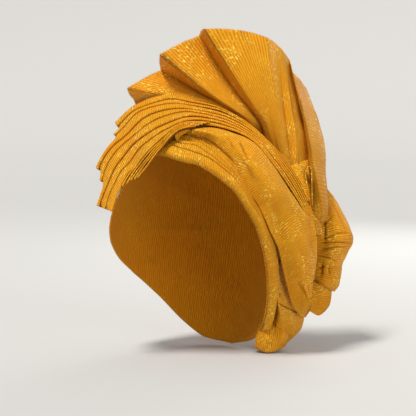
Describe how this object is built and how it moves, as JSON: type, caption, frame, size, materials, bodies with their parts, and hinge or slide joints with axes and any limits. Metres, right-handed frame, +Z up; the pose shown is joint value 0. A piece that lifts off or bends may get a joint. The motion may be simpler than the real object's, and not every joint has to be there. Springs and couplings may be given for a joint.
{
  "type": "gele head tie",
  "caption": "Tied head wrap of pleated cloth with rim pleats, a gathered side bundle, an accordion fan over the crown and a back ruffle.",
  "frame": {"origin": "crown of the head, at the top of the hollow inside the wrap", "axes": "+Z up, -Y to the front of the head, +X to the wearer's left"},
  "size_m": [0.1818, 0.2519, 0.3237],
  "materials": {
    "cloth": "golden orange ribbed weave with metallic thread"
  },
  "bodies": {
    "root": {"crown_cap": "cloth", "rim_pleat_1": "cloth", "rim_pleat_2": "cloth", "rim_pleat_3": "cloth", "rim_pleat_4": "cloth", "front_pleat_1": "cloth", "front_pleat_2": "cloth", "front_pleat_3": "cloth", "front_pleat_4": "cloth", "front_pleat_5": "cloth", "front_pleat_6": "cloth", "front_pleat_7": "cloth", "crown_fan": "cloth", "side_wrap": "cloth", "under_wrap": "cloth", "nape_gather": "cloth", "back_ruffle": "cloth", "ruffle_tab": "cloth"}
  },
  "joints": []
}
